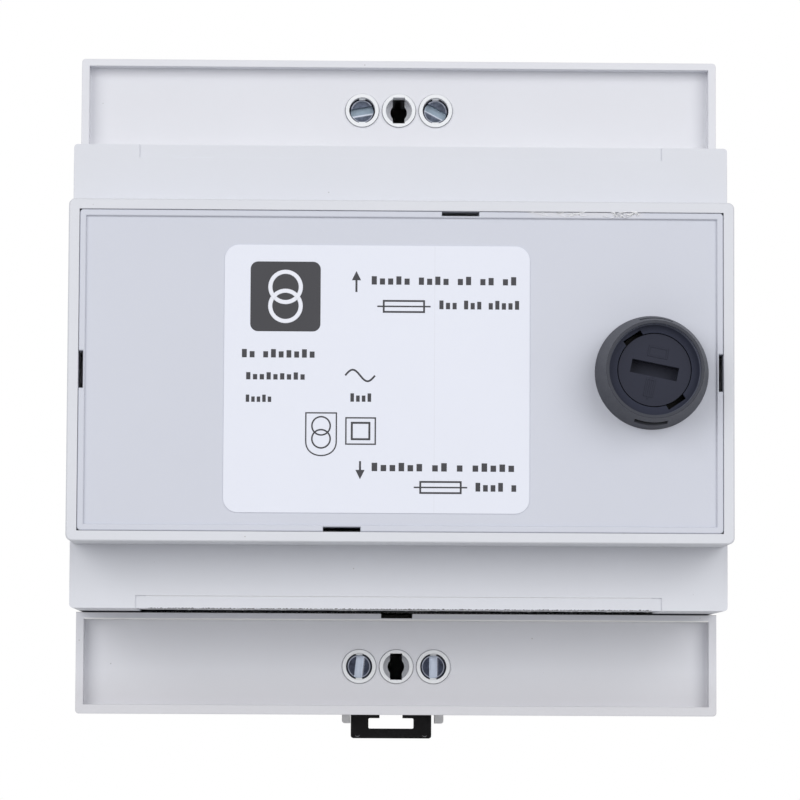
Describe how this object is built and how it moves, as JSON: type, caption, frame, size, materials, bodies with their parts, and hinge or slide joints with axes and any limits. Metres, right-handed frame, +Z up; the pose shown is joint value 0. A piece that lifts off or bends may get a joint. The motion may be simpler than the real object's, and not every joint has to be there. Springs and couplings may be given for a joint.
{
  "type": "din rail transformer",
  "caption": "Modular stepped grey housing for a mounting rail, holding a small mains transformer, with screw terminals at both ends, a bayonet fuse holder and a spring rail clip.",
  "frame": {"origin": "middle of the rail seat, on the plane where the rail's brims touch the housing", "axes": "+Z up as mounted, +X to the right seen from the front, +Y into the rail, so the front faces -Y"},
  "size_m": [0.0874, 0.0635, 0.0934],
  "materials": {
    "housing_plastic": "light grey moulded housing with a fine spark-eroded texture",
    "panel_plastic": "light grey moulded panel, slightly cooler and smoother than the housing",
    "label_film": "white self-adhesive film, satin",
    "terminal_plastic": "off-white moulded polyamide",
    "clip_plastic": "black moulded polyamide",
    "fuse_holder_plastic": "bluish black moulded thermoset, satin",
    "zinc_plated_steel": "blue zinc plated steel",
    "tinned_brass": "tin plated brass",
    "fuse_glass": "clear glass tube",
    "nickel_plate": "nickel plated brass",
    "core_steel": "stacked silicon steel sheets, varnished",
    "former_plastic": "black glass filled polyamide",
    "enamelled_copper": "enamelled copper wire, closely wound",
    "polyester_tape": "yellow polyester film tape",
    "cutout_case": "cream moulded case",
    "lead_insulation": "flexible insulated lead, blue"
  },
  "bodies": {
    "case": {"base_housing": "housing_plastic", "coil_former": "former_plastic", "coil_pins": "tinned_brass", "core_laminations": "core_steel", "core_screws": "zinc_plated_steel", "cover_shell": "housing_plastic", "front_panel": "panel_plastic", "fuse_feed_lead": "lead_insulation", "fuse_holder_body": "fuse_holder_plastic", "fuse_holder_nut": "fuse_holder_plastic", "fuse_rear_contact": "tinned_brass", "fuse_return_lead": "lead_insulation", "fuse_side_contact": "tinned_brass", "lower_contact_bars": "tinned_brass", "lower_terminal_block": "terminal_plastic", "lower_terminal_guard": "housing_plastic", "primary_left_lead": "lead_insulation", "primary_right_lead": "lead_insulation", "primary_tape": "polyester_tape", "primary_winding": "enamelled_copper", "rating_label": "label_film", "secondary_lead": "lead_insulation", "secondary_tape": "polyester_tape", "secondary_winding": "enamelled_copper", "thermal_cutout": "cutout_case", "upper_contact_bars": "tinned_brass", "upper_terminal_block": "terminal_plastic", "upper_terminal_guard": "housing_plastic"},
    "clip": {"rail_clip": "clip_plastic"},
    "fuse_carrier": {"fuse_cap": "fuse_holder_plastic", "fuse_glass": "fuse_glass", "fuse_end_caps": "nickel_plate", "fuse_wire": "nickel_plate"},
    "upper_left_screw": {"upper_left_screw": "zinc_plated_steel"},
    "upper_left_cage": {"upper_left_cage": "zinc_plated_steel"},
    "upper_right_screw": {"upper_right_screw": "zinc_plated_steel"},
    "upper_right_cage": {"upper_right_cage": "zinc_plated_steel"},
    "lower_left_screw": {"lower_left_screw": "zinc_plated_steel"},
    "lower_left_cage": {"lower_left_cage": "zinc_plated_steel"},
    "lower_right_screw": {"lower_right_screw": "zinc_plated_steel"},
    "lower_right_cage": {"lower_right_cage": "zinc_plated_steel"}
  },
  "joints": [
    {"name": "clip_slide", "type": "slide", "parent": "case", "child": "clip", "axis": [0, 0, -1], "range_m": [0, 0.0035], "stiffness_N_per_m": 1500},
    {"name": "fuse_cap_turn", "type": "hinge", "parent": "case", "child": "fuse_carrier", "pos_m": [0.0329, -0.055, 0], "axis": [0, -1, 0], "range_deg": [0, 45]},
    {"name": "upper_left_screw_turn", "type": "hinge", "parent": "case", "child": "upper_left_screw", "pos_m": [-0.00508, -0.0234, 0.0384], "axis": [0, 1, 0], "range_deg": [0, 1801]},
    {"name": "upper_left_cage_rise", "type": "slide", "parent": "case", "child": "upper_left_cage", "axis": [0, -1, 0], "range_m": [0, 0.0025]},
    {"name": "upper_right_screw_turn", "type": "hinge", "parent": "case", "child": "upper_right_screw", "pos_m": [0.00508, -0.0234, 0.0384], "axis": [0, 1, 0], "range_deg": [0, 1801]},
    {"name": "upper_right_cage_rise", "type": "slide", "parent": "case", "child": "upper_right_cage", "axis": [0, -1, 0], "range_m": [0, 0.0025]},
    {"name": "lower_left_screw_turn", "type": "hinge", "parent": "case", "child": "lower_left_screw", "pos_m": [-0.00508, -0.0234, -0.0384], "axis": [0, 1, 0], "range_deg": [0, 1801]},
    {"name": "lower_left_cage_rise", "type": "slide", "parent": "case", "child": "lower_left_cage", "axis": [0, -1, 0], "range_m": [0, 0.0025]},
    {"name": "lower_right_screw_turn", "type": "hinge", "parent": "case", "child": "lower_right_screw", "pos_m": [0.00508, -0.0234, -0.0384], "axis": [0, 1, 0], "range_deg": [0, 1801]},
    {"name": "lower_right_cage_rise", "type": "slide", "parent": "case", "child": "lower_right_cage", "axis": [0, -1, 0], "range_m": [0, 0.0025]}
  ],
  "couplings": [
    {"joint": "upper_left_screw_turn", "follows": "upper_left_cage_rise", "rad_per_m": 12566},
    {"joint": "upper_right_screw_turn", "follows": "upper_right_cage_rise", "rad_per_m": 12566},
    {"joint": "lower_left_screw_turn", "follows": "lower_left_cage_rise", "rad_per_m": 12566},
    {"joint": "lower_right_screw_turn", "follows": "lower_right_cage_rise", "rad_per_m": 12566}
  ]
}
